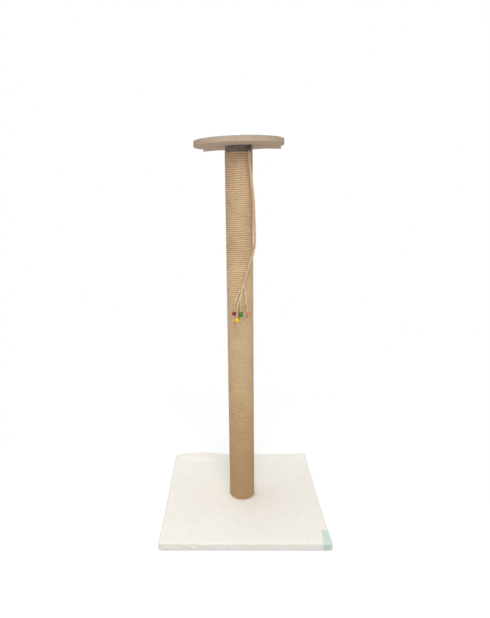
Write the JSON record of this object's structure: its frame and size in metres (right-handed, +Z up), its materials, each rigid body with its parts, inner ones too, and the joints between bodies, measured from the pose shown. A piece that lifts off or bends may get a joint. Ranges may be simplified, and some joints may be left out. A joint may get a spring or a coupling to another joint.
{
  "type": "cat scratching post with platform",
  "caption": "Free-standing cat scratching post: plush-covered square base, rope-wound post, eared felt platform and a bead toy hanging on a cord.",
  "frame": {"origin": "middle of the base's underside, on the floor", "axes": "+Z up along the post, +X to the right and -Y to the front as the picture shows it"},
  "size_m": [0.5, 0.5, 1.158],
  "materials": {
    "board": "raw medium-density fibreboard",
    "plush": "short cream pile",
    "lining": "thin non-woven cloth",
    "staple_wire": "zinc-coated wire",
    "label_cloth": "woven, blank",
    "bolt_steel": "zinc-plated",
    "plug_wood": "turned, raw",
    "tube_card": "spiral-wound card",
    "rope": "natural twisted fibre",
    "cap_plastic": "moulded, matt",
    "felt": "needled melange felt",
    "dark_steel": "darkened wire",
    "cord": "pale twisted cord",
    "strand": "unlaid cord strand",
    "bead_red_paint": "lacquered bead",
    "bead_green_paint": "lacquered bead",
    "bead_yellow_paint": "lacquered bead",
    "bead_orange_paint": "lacquered bead"
  },
  "bodies": {
    "stand": {"base_board": "board", "base_cover": "plush", "base_liner": "lining", "base_staples": "staple_wire", "side_label": "label_cloth", "base_bolt": "bolt_steel", "base_washer": "bolt_steel", "bottom_plug": "plug_wood", "bottom_tee_nut": "bolt_steel", "bottom_plug_nails": "staple_wire", "post_tube": "tube_card", "rope_top_turns": "rope", "rope_middle": "rope", "rope_bottom_turns": "rope", "rope_end_staples": "staple_wire", "top_cap": "cap_plastic", "top_plug": "plug_wood", "top_tee_nut": "bolt_steel", "top_plug_nails": "staple_wire", "platform_board": "board", "platform_felt": "felt", "platform_washer": "bolt_steel", "platform_bolt": "bolt_steel", "screw_eye": "dark_steel"},
    "ring": {"hanging_ring": "dark_steel"},
    "toy": {"cord_loop": "cord", "toy_cord": "cord", "cord_knot": "cord"},
    "strands": {"strand_red": "strand", "strand_green": "strand", "strand_yellow": "strand", "strand_orange": "strand"},
    "red_bead": {"bead_red": "bead_red_paint"},
    "green_bead": {"bead_green": "bead_green_paint"},
    "yellow_bead": {"bead_yellow": "bead_yellow_paint"},
    "orange_bead": {"bead_orange": "bead_orange_paint"}
  },
  "joints": [
    {"name": "ring_tilt", "type": "hinge", "parent": "stand", "child": "ring", "pos_m": [0.029, -0.047, 1.1325], "axis": [-1, 0, 0], "range_deg": [0, 80]},
    {"name": "cord_swing", "type": "hinge", "parent": "ring", "child": "toy", "pos_m": [0.029, -0.047, 1.1244], "axis": [0, -1, 0], "range_deg": [-75, 75]},
    {"name": "strands_swing", "type": "hinge", "parent": "toy", "child": "strands", "pos_m": [0.007, -0.047, 0.739], "axis": [-1, 0, 0], "range_deg": [0, 60]},
    {"name": "red_bead_slide", "type": "slide", "parent": "strands", "child": "red_bead", "axis": [0.1027, 0, 0.9947], "range_m": [0, 0.012]},
    {"name": "green_bead_slide", "type": "slide", "parent": "strands", "child": "green_bead", "axis": [0, 0, 1], "range_m": [0, 0.012]},
    {"name": "yellow_bead_slide", "type": "slide", "parent": "strands", "child": "yellow_bead", "axis": [0, 0, 1], "range_m": [0, 0.006]},
    {"name": "orange_bead_slide", "type": "slide", "parent": "strands", "child": "orange_bead", "axis": [-0.2374, 0, 0.9714], "range_m": [0, 0.01]}
  ]
}
